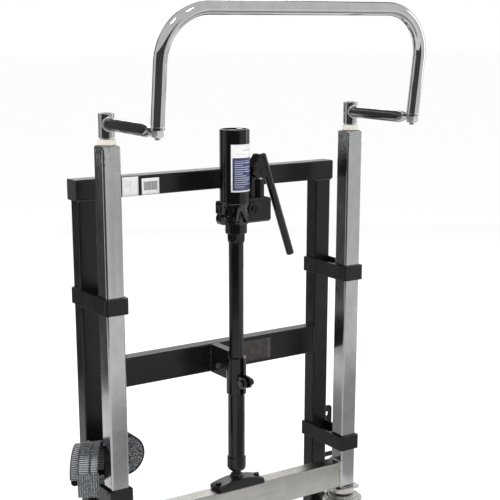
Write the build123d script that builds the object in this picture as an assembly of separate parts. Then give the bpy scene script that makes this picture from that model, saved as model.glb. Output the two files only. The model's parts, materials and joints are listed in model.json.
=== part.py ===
from build123d import *
import math
import os

# Hydraulic lifting dolly: one unit of the pair that straps to either end of a heavy load.
# A chrome frame on two swivel casters guides a black carriage, which an upright hand-pumped
# jack raises. Millimetres, +Z up, +X along the crossbars, +Y towards the load. The parts are
# laid out with the uprights on Y = 0 and the floor on Z = 0, and save() moves them so that
# the origin lies on the floor under the middle of the whole unit.

# --- driving dimensions -----------------------------------------------------------------
# chrome frame
UPRIGHT_X = 302.0            # from the middle to each upright's axis
UPRIGHT_SIZE = 40.0
UPRIGHT_WALL = 2.5
UPRIGHT_CORNER = 4.0
UPRIGHT_BASE_Z = 150.0
UPRIGHT_TOP_Z = 995.0
CAP_HEIGHT = 12.0
CAP_ROUNDING = 9.0
BEAM_DEPTH = 40.0
BEAM_HEIGHT = 63.0
BEAM_TOP_Z = 216.0
BEAM_WALL = 3.0

# pivot of the swinging handle arms
PIN_RADIUS = 10.0
BUSH_RADIUS = 18.0
BUSH_HEIGHT = 11.0
BUSH_SPIGOT_RADIUS = 14.0
BUSH_DEPTH = 33.0
RUNNING_GAP = 0.05           # radial clearance of every shaft in its bore
FACE_GAP = 0.3               # clearance between faces that turn on each other
STUB_RISE = 3.0              # from a bush to the stub above it
PIN_COLLAR_RADIUS = 13.0

# handle arms and handle
ARM_SWING = 1.5              # degrees that both arms stand off square
ARM_LENGTH = 212.0
ARM_RADIUS = 12.5
ARM_AXIS_Z = 1035.6
STUB_RADIUS = 16.0
STUB_TOP_Z = 1056.0
TAB_WIDTH = 27.0
TAB_THICKNESS = 4.5
TAB_TOP_Z = 1043.0
HANDLE_RADIUS = 13.0
HANDLE_WALL = 2.0
HANDLE_BEND = 95.0
HANDLE_TOP_Z = 1252.3        # centre line of the grip bar
HANDLE_LEAN = 6.96           # degrees that the legs lean back over the operator
STUD_RADIUS = 6.0
WASHER_THICKNESS = 1.3
NUT_FLATS = 22.0
NUT_BOTTOM_Z = 1026.0

# black carriage
POST_X = 301.6
POST_WIDTH = 43.0
POST_DEPTH = 36.0
POST_NEAR_Y = 94.2           # the posts' face on the upright side
CARRIAGE_WALL = 3.0
CARRIAGE_CORNER = 4.0
TOP_BAR_LENGTH = 658.0
TOP_BAR_HEIGHT = 42.8
TOP_BAR_DEPTH = 38.0
TOP_BAR_TOP_Z = 916.5
MID_BAR_HEIGHT = 65.0
MID_BAR_DEPTH = 34.0
MID_BAR_TOP_Z = 524.8
TOE_THICKNESS = 6.0
LEDGE_THICKNESS = 8.0
TOE_REACH_Y = 190.0
TOE_UPSTAND = 60.0
BAND_THICKNESS = 5.0
BAND_HEIGHT = 34.0
BAND_GAP = 1.5               # from a band's inner face to the upright
BAND_Z = (262.6, 672.5)      # middle heights of the lower and upper guide bands

# jack
JACK_X = 1.0
JACK_Y = 4.0
RESERVOIR_X = -2.5
RESERVOIR_RADIUS = 32.0
RESERVOIR_Z = (855.0, 1011.0)
RESERVOIR_WALL = 3.0
CAP_THICKNESS = 6.0
HEAD_RADIUS = 30.0
HEAD_BASE_Z = 812.0
BORE_RADIUS = 13.0
UPPER_TUBE_RADIUS = 16.0
LOWER_TUBE_RADIUS = 18.7
COLLAR_RADIUS = 22.0
COLLAR_Z = (431.5, 515.0)
END_CAP_RADIUS = 21.0
END_CAP_Z = (252.0, 285.0)
ROD_RADIUS = 9.5
ROD_TOP_Z = 540.0
PISTON_LENGTH = 25.0
BALL_RADIUS = 15.5
BALL_Z = 235.0
FOOT_TOP_Z = 251.0
EAR_Z = 465.0                # axis of the collar's clamp bolt
BRACKET_X = (-8.0, 12.0)

# pump and lever
PUMP_X = 59.0
PUMP_RADIUS = 12.0
PUMP_TOP_Z = 902.0
PLUNGER_RADIUS = 7.0
BLOCK_X = (14.0, 80.0)
BLOCK_Y = (-16.0, 24.0)
BLOCK_Z = (812.0, 864.0)
FULCRUM = (43.5, 925.0)      # X and Z of the lever's fulcrum pin
CRANK = 16.0                 # from the fulcrum pin to the plunger pin
CRANK_ANGLE = -17.5          # degrees below level with the lever folded down
FULCRUM_PIN_RADIUS = 3.0
PLUNGER_PIN_RADIUS = 3.5
SLOT_RADIUS = 4.5
CHEEK_THICKNESS = 4.0
CHEEK_GAP = 20.0
BAR_RADIUS = 8.5
BAR_TOP = (66.8, 956.0)      # X and Z of the two ends of the lever bar's axis
BAR_END = (144.4, 730.0)
RELEASE_X = 33.0
RELEASE_Z = 842.0

# casters
WHEEL_RADIUS = 50.0
WHEEL_WIDTH = 46.0
TREAD_THICKNESS = 10.0
TRAIL = 30.0
AXLE_RADIUS = 6.0
CASTER_PLATE = (64.0, 60.0)
CASTER_PLATE_THICKNESS = 4.0
SWIVEL_HEAD_RADIUS = 28.0
SWIVEL_HEAD_HEIGHT = 14.0
CROWN_RADIUS = 47.0
CROWN_Z = (104.0, 129.0)
FORK_GAP = 52.0
FORK_THICKNESS = 4.0
KINGPIN_RADIUS = 8.0

# strap: a rolled end and a hanging bundle of 50 mm webbing, and the anchors that it ties to
WEBBING = 50.0
ROLL_RADIUS = 47.0
ROLL_CENTRE = (-264.5, 335.0)
ROLL_FLAT_X = -293.0         # the roll is pressed flat on this side, behind the upright
ROLL_NEAR_Y = 24.0
EYE_Z = 281.5
EYE_LENGTH = 57.0
EYE_THICKNESS = 4.0
PEG_Z = 183.0
STRAP_REACH_X = 372.0        # how far the pegs stand out from the middle

SIDES = (-1, 1)
HANDLE_REACH_Y = (ARM_LENGTH * math.cos(math.radians(ARM_SWING))
                  + (HANDLE_TOP_Z - TAB_TOP_Z) * math.tan(math.radians(HANDLE_LEAN))
                  + HANDLE_RADIUS)
ORIGIN_Y = (TOE_REACH_Y - HANDLE_REACH_Y) / 2


# --- helpers ----------------------------------------------------------------------------
def save(node, *pieces):
    """Writes one node, moved so that the origin is under the middle of the unit."""
    shape = pieces[0] if len(pieces) == 1 else Compound(children=list(pieces))
    export_step(Pos(0, -ORIGIN_Y, 0) * shape, f"parts/{node}.step")


def block(x, y, z):
    """A box from (low, high) pairs along each axis."""
    centre = Pos((x[0] + x[1]) / 2, (y[0] + y[1]) / 2, (z[0] + z[1]) / 2)
    return centre * Box(x[1] - x[0], y[1] - y[0], z[1] - z[0])


def rod(radius, low, high, x=0.0, y=0.0):
    """An upright cylinder between two heights."""
    return Pos(x, y, (low + high) / 2) * Cylinder(radius, high - low)


def rod_x(radius, low, high, y, z):
    """A cylinder along X."""
    return Pos((low + high) / 2, y, z) * Rot(0, 90, 0) * Cylinder(radius, high - low)


def rod_y(radius, low, high, x, z):
    """A cylinder along Y."""
    return Pos(x, (low + high) / 2, z) * Rot(90, 0, 0) * Cylinder(radius, high - low)


def outward(side, near, far):
    """The (low, high) span between two distances out from the middle, on one side."""
    return (near, far) if side > 0 else (-far, -near)


def hexagon(flats, low, high, x=0.0, y=0.0):
    """An upright hexagonal bar, by its width across flats."""
    return Pos(x, y, low) * extrude(RegularPolygon(flats / 2, 6, major_radius=False), high - low)


def hexagon_x(flats, low, high, y, z):
    """A hexagonal bar along X."""
    prism = extrude(RegularPolygon(flats / 2, 6, major_radius=False), high - low)
    return Pos(low, y, z) * Rot(0, 90, 0) * prism


def box_tube(width, depth, length, wall, corner):
    """An upright rectangular tube that stands on Z = 0."""
    outer = RectangleRounded(width, depth, corner)
    inner = RectangleRounded(width - 2 * wall, depth - 2 * wall, max(corner - wall, 0.5))
    return extrude(outer - inner, length)


def box_tube_x(depth, height, length, wall, corner):
    """A rectangular tube along X, centred on the origin."""
    return Rot(0, 90, 0) * Pos(0, 0, -length / 2) * box_tube(height, depth, length, wall, corner)


def outline_y(points, low, high):
    """A polygon in X and Z, extruded along Y."""
    face = make_face(Polyline(*[(x, 0, z) for x, z in points], close=True))
    return Pos(0, low, 0) * extrude(face, high - low, dir=(0, 1, 0))


# --- chrome frame -----------------------------------------------------------------------
def make_frame():
    tube_top = UPRIGHT_TOP_Z - CAP_HEIGHT
    inside = UPRIGHT_SIZE - 2 * UPRIGHT_WALL
    tube = box_tube(UPRIGHT_SIZE, UPRIGHT_SIZE, tube_top - UPRIGHT_BASE_Z, UPRIGHT_WALL, UPRIGHT_CORNER)
    for side, name in zip(SIDES, ("left", "right")):
        save(f"upright_{name}", Pos(side * UPRIGHT_X, 0, UPRIGHT_BASE_Z) * tube)

    lid = extrude(RectangleRounded(UPRIGHT_SIZE, UPRIGHT_SIZE, UPRIGHT_CORNER), CAP_HEIGHT)
    crown = fillet(Rectangle(UPRIGHT_SIZE, CAP_HEIGHT).vertices().sort_by(Axis.Y)[-2:], CAP_ROUNDING)
    ridge = Pos(0, 0, CAP_HEIGHT / 2) * extrude(Plane.XZ * crown, UPRIGHT_SIZE / 2, both=True)
    lid = lid & ridge & (Rot(0, 0, 90) * ridge)
    plug_depth = BUSH_DEPTH - CAP_HEIGHT + 5
    plug = Pos(0, 0, -plug_depth) * extrude(RectangleRounded(inside, inside, 1.5), plug_depth)
    cap = lid + plug - rod(BUSH_SPIGOT_RADIUS + RUNNING_GAP, -plug_depth, CAP_HEIGHT)
    save("upright_caps", *[Pos(s * UPRIGHT_X, 0, tube_top) * cap for s in SIDES])

    flange = rod(BUSH_RADIUS, UPRIGHT_TOP_Z, UPRIGHT_TOP_Z + BUSH_HEIGHT)
    flange = fillet(flange.edges().filter_by(GeomType.CIRCLE), 1.0)
    spigot = rod(BUSH_SPIGOT_RADIUS, UPRIGHT_TOP_Z - BUSH_DEPTH, UPRIGHT_TOP_Z + 1)
    bore = rod(PIN_RADIUS + RUNNING_GAP, UPRIGHT_TOP_Z - BUSH_DEPTH, UPRIGHT_TOP_Z + BUSH_HEIGHT)
    bush = flange + spigot - bore
    save("pivot_bushes", *[Pos(s * UPRIGHT_X, 0, 0) * bush for s in SIDES])

    length = 2 * UPRIGHT_X - UPRIGHT_SIZE
    beam_z = BEAM_TOP_Z - BEAM_HEIGHT / 2
    beam = Pos(0, 0, beam_z) * box_tube_x(BEAM_DEPTH, BEAM_HEIGHT, length, BEAM_WALL, UPRIGHT_CORNER)
    for x in (-BOLT_X, BOLT_X):
        beam -= rod(3.1, BEAM_TOP_Z - BEAM_WALL - 1, BEAM_TOP_Z + 1, JACK_X + x, 0)
    save("lower_beam", beam)


# --- jack foot on the beam --------------------------------------------------------------
BOLT_X = 51.5
SADDLE_HALF = 58.5
SADDLE_END = 11.0            # height of the saddle's ends above the beam
SADDLE_CREST = 21.0
SEAT_RISE = 10.0


def make_jack_foot():
    half = SADDLE_HALF
    crest = ThreePointArc((-half, SADDLE_END), (0, SADDLE_CREST), (half, SADDLE_END))
    sides = Polyline((half, SADDLE_END), (half, 0), (-half, 0), (-half, SADDLE_END))
    depth = BEAM_DEPTH + 5
    plate = extrude(make_face(Curve() + [crest, sides]), depth)
    plate = fillet(plate.edges().filter_by(GeomType.CIRCLE), 6.0)
    saddle = Pos(JACK_X, depth / 2, BEAM_TOP_Z) * Rot(90, 0, 0) * plate
    saddle -= Pos(JACK_X, JACK_Y, BALL_Z) * Sphere(BALL_RADIUS + RUNNING_GAP)
    seat_z = BEAM_TOP_Z + SEAT_RISE
    bolts = []
    for x in (JACK_X - BOLT_X, JACK_X + BOLT_X):
        saddle -= rod(3.1, BEAM_TOP_Z - 1, seat_z + 20, x)
        saddle -= rod(7.5, seat_z, seat_z + 20, x)
        washer = rod(6.8, seat_z, seat_z + 1.5, x)
        shank = rod(3.0, BEAM_TOP_Z - 14, seat_z + 1.5, x)
        head = hexagon(11, seat_z + 1.5, seat_z + 8, x) & (Pos(x, 0, seat_z + 4) * Cone(7.5, 5.6, 9))
        bolts.append(washer + shank + head)
    save("jack_saddle", saddle)
    save("saddle_bolts", *bolts)

    foot = Pos(JACK_X, JACK_Y, BALL_Z) * Sphere(BALL_RADIUS) + rod(
        ROD_RADIUS, BALL_Z + 5, FOOT_TOP_Z, JACK_X, JACK_Y)
    save("ram_foot", foot)
    save("ram_rod", rod(ROD_RADIUS, FOOT_TOP_Z, ROD_TOP_Z, JACK_X, JACK_Y))
    piston = rod(BORE_RADIUS - RUNNING_GAP, ROD_TOP_Z, ROD_TOP_Z + PISTON_LENGTH, JACK_X, JACK_Y)
    for z in (ROD_TOP_Z + 6, ROD_TOP_Z + 16):
        piston -= rod(BORE_RADIUS + 1, z, z + 3, JACK_X, JACK_Y) - rod(
            BORE_RADIUS - 2, z, z + 3, JACK_X, JACK_Y)
    save("ram_piston", piston)


# --- casters ----------------------------------------------------------------------------
def make_casters():
    plate_z = UPRIGHT_BASE_Z - CASTER_PLATE_THICKNESS
    outline = RectangleRounded(*CASTER_PLATE, 9)
    for y in (-25.5, 25.5):
        outline -= Pos(3, y) * SlotOverall(19, 4.5)
    plate = extrude(outline, CASTER_PLATE_THICKNESS)
    save("caster_plates", *[Pos(s * UPRIGHT_X, 0, plate_z) * plate for s in SIDES])

    head_z = plate_z - SWIVEL_HEAD_HEIGHT
    head = rod(SWIVEL_HEAD_RADIUS, head_z, plate_z)
    head = fillet(head.edges().sort_by(Axis.Z)[0], 4.0)
    head -= rod(KINGPIN_RADIUS + RUNNING_GAP, head_z, plate_z)
    save("swivel_heads", *[Pos(s * UPRIGHT_X, 0, 0) * head for s in SIDES])

    hub = rod_x(WHEEL_RADIUS - TREAD_THICKNESS, -WHEEL_WIDTH / 2, WHEEL_WIDTH / 2, TRAIL, WHEEL_RADIUS)
    for side in SIDES:
        recess = rod_x(30, *outward(side, 13, WHEEL_WIDTH / 2), TRAIL, WHEEL_RADIUS)
        boss = rod_x(12, *outward(side, 12, WHEEL_WIDTH / 2), TRAIL, WHEEL_RADIUS)
        hub = hub - recess + boss
    hub -= rod_x(AXLE_RADIUS + RUNNING_GAP, -30, 30, TRAIL, WHEEL_RADIUS)
    tread = rod_x(WHEEL_RADIUS, -WHEEL_WIDTH / 2, WHEEL_WIDTH / 2, TRAIL, WHEEL_RADIUS)
    tread = fillet(tread.edges().filter_by(GeomType.CIRCLE), 5.0)
    tread -= rod_x(WHEEL_RADIUS - TREAD_THICKNESS, -30, 30, TRAIL, WHEEL_RADIUS)

    crown = rod(CROWN_RADIUS, CROWN_Z[0], CROWN_Z[1])
    crown = chamfer(crown.edges().sort_by(Axis.Z)[-1], 10.0, 20.0)
    crown -= rod(CROWN_RADIUS - 4, CROWN_Z[0] - 1, CROWN_Z[0] + 6)
    for radius in (40.0, 33.0):
        crown += Pos(0, 0, CROWN_Z[1] - (radius - 27) / 2 + 0.4) * Torus(radius, 1.6)
    fork = crown
    for side in SIDES:
        span = outward(side, FORK_GAP / 2, FORK_GAP / 2 + FORK_THICKNESS)
        sheet = make_face(Polyline((-24, 108), (34, 108), (TRAIL + 13, WHEEL_RADIUS),
                                   (TRAIL - 13, WHEEL_RADIUS), close=True))
        leg = Pos(span[0], 0, 0) * extrude(Plane.YZ * sheet, FORK_THICKNESS)
        fork += leg + rod_x(13, span[0], span[1], TRAIL, WHEEL_RADIUS)
    fork -= rod_x(AXLE_RADIUS, -40, 40, TRAIL, WHEEL_RADIUS)
    top_z = UPRIGHT_BASE_Z - CASTER_PLATE_THICKNESS - 3
    fork += rod(KINGPIN_RADIUS, CROWN_Z[1] - 1, top_z)

    reach = FORK_GAP / 2 + FORK_THICKNESS
    axle = rod_x(AXLE_RADIUS, -reach - 2, reach + 8, TRAIL, WHEEL_RADIUS)
    axle += hexagon_x(17, -reach - 7, -reach, TRAIL, WHEEL_RADIUS)
    axle += hexagon_x(17, reach, reach + 7, TRAIL, WHEEL_RADIUS)
    for side, name in zip(SIDES, ("left", "right")):
        place = Pos(side * UPRIGHT_X, 0, 0)
        save(f"caster_fork_{name}", place * fork)
        save(f"caster_axle_{name}", place * axle)
        save(f"wheel_hub_{name}", place * hub)
        save(f"wheel_tread_{name}", place * tread)


# --- handle arms and handle -------------------------------------------------------------
def make_arm(side, name):
    """An arm in its own frame, where it reaches along -Y, then swung into place."""
    stub_z = UPRIGHT_TOP_Z + BUSH_HEIGHT + STUB_RISE
    stub = rod(STUB_RADIUS, stub_z, STUB_TOP_Z)
    stub = fillet(stub.edges().sort_by(Axis.Z)[-1], 1.0)
    pinch_y = -ARM_LENGTH + 56
    tube = rod_y(ARM_RADIUS, pinch_y, -8, 0, ARM_AXIS_Z)
    hollow = rod_y(ARM_RADIUS - 2.5, pinch_y + 4, -8, 0, ARM_AXIS_Z)
    tab_z = TAB_TOP_Z - TAB_THICKNESS / 2
    stations = ((-ARM_LENGTH + 30, ARM_AXIS_Z + 1, 13.2, 9.5),
                (-ARM_LENGTH + 13.5, tab_z, TAB_WIDTH / 2, TAB_THICKNESS / 2))
    sections = [Plane(origin=(0, y, z), x_dir=(1, 0, 0), z_dir=(0, -1, 0)) * Ellipse(w, h)
                for y, z, w, h in stations]
    start = Plane(origin=(0, pinch_y, ARM_AXIS_Z), x_dir=(1, 0, 0), z_dir=(0, -1, 0))
    squeeze = loft([start * Circle(ARM_RADIUS)] + sections)
    tab = Pos(0, 0, TAB_TOP_Z - TAB_THICKNESS) * extrude(
        Pos(0, -ARM_LENGTH + 8) * Rectangle(TAB_WIDTH, 16)
        + Pos(0, -ARM_LENGTH) * Circle(TAB_WIDTH / 2), TAB_THICKNESS)
    stud_hole = rod(STUD_RADIUS + RUNNING_GAP, TAB_TOP_Z - 6, TAB_TOP_Z + 1, 0, -ARM_LENGTH)
    socket = rod(PIN_RADIUS + RUNNING_GAP, UPRIGHT_TOP_Z, STUB_TOP_Z + 1)
    cross_hole = rod_x(2.5, -20, 20, 0, ARM_AXIS_Z)
    arm = stub + (tube - hollow) + squeeze + tab - socket - stud_hole - cross_hole

    pin = rod(PIN_RADIUS, UPRIGHT_TOP_Z - BUSH_DEPTH - 18, STUB_TOP_Z - 4) - cross_hole
    pin = chamfer(pin.edges().sort_by(Axis.Z)[0], 2.0)
    pin += rod(PIN_COLLAR_RADIUS, UPRIGHT_TOP_Z + BUSH_HEIGHT + FACE_GAP, stub_z)
    cross_pin = rod_x(2.45, -13.5, 13.5, 0, ARM_AXIS_Z)
    place = Pos(side * UPRIGHT_X, 0, 0) * Rot(0, 0, -ARM_SWING)
    save(f"arm_{name}", place * arm)
    save(f"arm_pin_{name}", place * pin, place * cross_pin)


def stud_place(side):
    """Where a handle leg stands on its arm."""
    swing = math.radians(ARM_SWING)
    return (side * UPRIGHT_X - ARM_LENGTH * math.sin(swing), -ARM_LENGTH * math.cos(swing))


def make_handle():
    foot_z = TAB_TOP_Z + 0.1 + WASHER_THICKNESS
    lean = math.tan(math.radians(HANDLE_LEAN))
    middle_x = stud_place(1)[0] - UPRIGHT_X
    foot_y = stud_place(1)[1]

    def on_leg(side, z):
        return Vector(middle_x + side * UPRIGHT_X, foot_y - (z - TAB_TOP_Z) * lean, z)

    low_z = foot_z - 10
    corners = [on_leg(-1, low_z), on_leg(-1, HANDLE_TOP_Z), on_leg(1, HANDLE_TOP_Z), on_leg(1, low_z)]
    path = FilletPolyline(*corners, radius=HANDLE_BEND)
    section = Plane(origin=path @ 0, z_dir=path % 0) * (
        Circle(HANDLE_RADIUS) - Circle(HANDLE_RADIUS - HANDLE_WALL))
    bar = sweep(section, path=path)
    bar -= block((-400, 400), (foot_y - 60, foot_y + 60), (foot_z - 60, foot_z))
    save("handle_bar", bar)

    studs = []
    hardware = []
    for side in SIDES:
        x, y = stud_place(side)
        start = on_leg(side, foot_z - 10)
        axis = Plane(origin=start, z_dir=path % 0)
        plug = axis * Pos(0, 0, 20) * Cylinder(HANDLE_RADIUS - HANDLE_WALL - RUNNING_GAP, 40)
        plug -= block((x - 40, x + 40), (y - 40, y + 40), (foot_z - 60, foot_z))
        studs.append(plug + rod(STUD_RADIUS, NUT_BOTTOM_Z - 5, foot_z + 5, x, y))
        washer = rod(13.0, TAB_TOP_Z + 0.1, foot_z, x, y)
        washer -= rod(STUD_RADIUS + RUNNING_GAP, TAB_TOP_Z, foot_z, x, y)
        nut_top = TAB_TOP_Z - TAB_THICKNESS - 0.1
        nut = hexagon(NUT_FLATS, NUT_BOTTOM_Z, nut_top, x, y)
        nut &= Pos(x, y, nut_top - 6.25) * Cone(NUT_FLATS / 2, 15.5, 12.5)
        nut -= rod(STUD_RADIUS, nut_top - 20, nut_top + 1, x, y)
        hardware += [washer, nut]
    save("handle_studs", *studs)
    save("handle_hardware", *hardware)


# --- black carriage ---------------------------------------------------------------------
def make_carriage():
    top_z = TOP_BAR_TOP_Z - TOP_BAR_HEIGHT
    post_y = POST_NEAR_Y + POST_DEPTH / 2
    post = box_tube(POST_WIDTH, POST_DEPTH, top_z - TOE_THICKNESS, CARRIAGE_WALL, CARRIAGE_CORNER)
    for side, name in zip(SIDES, ("left", "right")):
        save(f"post_{name}", Pos(side * POST_X, post_y, TOE_THICKNESS) * post)

    plug_lip = 2.0
    tube_length = TOP_BAR_LENGTH - 2 * plug_lip
    bar_y = POST_NEAR_Y + TOP_BAR_DEPTH / 2
    bar_z = TOP_BAR_TOP_Z - TOP_BAR_HEIGHT / 2
    bar = box_tube_x(TOP_BAR_DEPTH, TOP_BAR_HEIGHT, tube_length, CARRIAGE_WALL, CARRIAGE_CORNER)
    save("top_crossbar", Pos(0, bar_y, bar_z) * bar)
    lip = extrude(RectangleRounded(TOP_BAR_HEIGHT, TOP_BAR_DEPTH, CARRIAGE_CORNER), plug_lip)
    core = extrude(RectangleRounded(TOP_BAR_HEIGHT - 2 * CARRIAGE_WALL - 0.2,
                                    TOP_BAR_DEPTH - 2 * CARRIAGE_WALL - 0.2, 1.0), -14)
    plugs = []
    for turn, side in ((-90, -1), (90, 1)):
        plugs.append(Pos(side * tube_length / 2, bar_y, bar_z) * Rot(0, turn, 0) * (lip + core))
    save("crossbar_plugs", *plugs)

    span = 2 * (POST_X - POST_WIDTH / 2)
    mid = box_tube_x(MID_BAR_DEPTH, MID_BAR_HEIGHT, span, CARRIAGE_WALL, CARRIAGE_CORNER)
    mid_y = POST_NEAR_Y + 0.3 + MID_BAR_DEPTH / 2
    save("mid_crossbar", Pos(0, mid_y, MID_BAR_TOP_Z - MID_BAR_HEIGHT / 2) * mid)

    outer = POST_X + POST_WIDTH / 2
    ledge_y = POST_NEAR_Y + POST_DEPTH
    plate = block((-outer, outer), (POST_NEAR_Y, TOE_REACH_Y), (0, TOE_THICKNESS))
    plate += block((-outer, outer), (ledge_y, TOE_REACH_Y), (0, LEDGE_THICKNESS))
    plate = chamfer(plate.edges().filter_by(Axis.Z).sort_by(Axis.Y)[-2:], 12)
    wall_x = span / 2
    wall_y = (ledge_y - TOE_THICKNESS, ledge_y)
    plate += block((-wall_x, wall_x), wall_y, (0, TOE_UPSTAND))
    save("toe_plate", plate)


def make_guides():
    half = POST_WIDTH / 2
    near = -UPRIGHT_SIZE / 2 - BAND_GAP
    far = POST_NEAR_Y + POST_DEPTH
    band = block((-half - BAND_THICKNESS, half + BAND_THICKNESS), (near - BAND_THICKNESS, far),
                 (-BAND_HEIGHT / 2, BAND_HEIGHT / 2))
    band = fillet(band.edges().filter_by(Axis.Z).sort_by(Axis.Y)[:2], 6.0)
    band = fillet(band.faces().sort_by(Axis.Z)[0].edges() + band.faces().sort_by(Axis.Z)[-1].edges(), 0.9)
    hollow = block((-half, half), (near, far + 1), (-BAND_HEIGHT, BAND_HEIGHT))
    hollow = fillet(hollow.edges().filter_by(Axis.Z).sort_by(Axis.Y)[:2], 1.5)
    band -= hollow
    back = UPRIGHT_SIZE / 2 + BAND_GAP
    closing = block((-half, half), (back, back + BAND_THICKNESS), (-BAND_HEIGHT / 2, BAND_HEIGHT / 2))
    for z, level in zip(BAND_Z, ("lower", "upper")):
        save(f"guide_bands_{level}", *[Pos(s * POST_X, 0, z) * band for s in SIDES])
    save("guide_rear_plates", *[Pos(s * POST_X, 0, z) * closing for s in SIDES for z in BAND_Z])


def make_strap_anchors():
    """An eye and a peg on the outside of each post."""
    face = POST_X + POST_WIDTH / 2
    mid_y = POST_NEAR_Y + POST_DEPTH / 2
    band_top = BAND_Z[0] + BAND_HEIGHT / 2
    eyes = []
    pegs = []
    for side in SIDES:
        outline = Pos(face + 10, EYE_Z) * RectangleRounded(40, EYE_LENGTH, 8)
        outline &= Pos(face + 15, EYE_Z) * Rectangle(30, EYE_LENGTH)
        slot = Pos(face + 16, EYE_Z + 8) * SlotOverall(12, 8, rotation=90)
        outline -= Pos(face, band_top - EYE_LENGTH / 2) * Rectangle(2 * BAND_THICKNESS, EYE_LENGTH)
        eye = Pos(0, mid_y + 4, 0) * Rot(90, 0, 0) * extrude(outline - slot, EYE_THICKNESS)
        peg = rod_x(6, face, STRAP_REACH_X - 4, mid_y, PEG_Z)
        peg += rod_x(11, STRAP_REACH_X - 4, STRAP_REACH_X, mid_y, PEG_Z)
        if side < 0:
            eye = mirror(eye, about=Plane.YZ)
            peg = mirror(peg, about=Plane.YZ)
        eyes.append(eye)
        pegs.append(peg)
    save("strap_eyes", *eyes)
    save("strap_pegs", *pegs)


# --- jack on the carriage ---------------------------------------------------------------
def make_jack():
    x = RESERVOIR_X
    tube = rod(RESERVOIR_RADIUS, RESERVOIR_Z[0], RESERVOIR_Z[1] - CAP_THICKNESS, x, JACK_Y)
    tube -= rod(RESERVOIR_RADIUS - RESERVOIR_WALL, RESERVOIR_Z[0] + 4, RESERVOIR_Z[1], x, JACK_Y)
    save("reservoir", tube)
    lid = rod(RESERVOIR_RADIUS, RESERVOIR_Z[1] - CAP_THICKNESS, RESERVOIR_Z[1], x, JACK_Y)
    lid = fillet(lid.edges().sort_by(Axis.Z)[-1], 2.0)
    lid -= rod(RESERVOIR_RADIUS - 5, RESERVOIR_Z[1] - 2, RESERVOIR_Z[1] + 1, x, JACK_Y)
    fill_x = x + 12
    lid -= rod(5.1, RESERVOIR_Z[1] - 10, RESERVOIR_Z[1], fill_x, JACK_Y)
    save("reservoir_lid", lid)
    seat = RESERVOIR_Z[1] - 2
    plug = rod(5.0, RESERVOIR_Z[1] - 12, seat, fill_x, JACK_Y) + hexagon(13, seat, seat + 2, fill_x, JACK_Y)
    save("filler_plug", plug)

    head = rod(HEAD_RADIUS, HEAD_BASE_Z, RESERVOIR_Z[0], x, JACK_Y)
    head += rod(HEAD_RADIUS + 1.5, HEAD_BASE_Z + 1, HEAD_BASE_Z + 6, x, JACK_Y)
    ear = block((-42, -18), (-9, 17), (833, 861))
    ear = fillet(ear.edges().filter_by(Axis.Y).sort_by(Axis.X)[:2], 4.0)
    ear -= rod(RESERVOIR_RADIUS + 0.3, RESERVOIR_Z[0], 870, x, JACK_Y)
    lobe = Pos(-28, JACK_Y, 823) * Rot(90, 0, 0) * Cylinder(15, 22)
    lobe -= block((-60, 60), (-60, 60), (833, 900))
    lobe -= block((-60, 60), (-60, 60), (700, HEAD_BASE_Z))
    rib = outline_y([(-25, 822), (-19, 851), (-7, 851), (12, 817), (5, 817), (-10, 843),
                     (-14, 843), (-18, 822)], -34, -15)
    rib = fillet(rib.edges().filter_by(Axis.Y), 1.5)
    head = head + ear + lobe + rib
    head -= block((BLOCK_X[0], 60), (-60, 60), (HEAD_BASE_Z - 1, RESERVOIR_Z[0] + 1))
    save("jack_head", head)

    x = JACK_X
    nuts = chamfer(rod(23.5, 788, HEAD_BASE_Z, x, JACK_Y).edges().sort_by(Axis.Z)[0], 4.0)
    nuts += hexagon(36, 771, 788, x, JACK_Y) & (Pos(x, JACK_Y, 779.5) * Cone(17.5, 22.5, 17))
    save("cylinder_nuts", nuts - rod(UPPER_TUBE_RADIUS, 771, HEAD_BASE_Z, x, JACK_Y))

    bore = rod(BORE_RADIUS, 285, HEAD_BASE_Z, x, JACK_Y)
    upper = rod(UPPER_TUBE_RADIUS, COLLAR_Z[0], HEAD_BASE_Z, x, JACK_Y) - bore
    save("cylinder_upper", upper)
    lower = rod(LOWER_TUBE_RADIUS, END_CAP_Z[1], COLLAR_Z[0], x, JACK_Y) - bore
    save("cylinder_lower", lower)
    end = rod(END_CAP_RADIUS, END_CAP_Z[0], END_CAP_Z[1], x, JACK_Y)
    end = fillet(end.edges().sort_by(Axis.Z)[0], 10.0)
    end = chamfer(end.edges().sort_by(Axis.Z)[-1], 1.5)
    end -= rod(ROD_RADIUS + RUNNING_GAP, 240, 300, x, JACK_Y)
    save("cylinder_end_cap", end)


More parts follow.
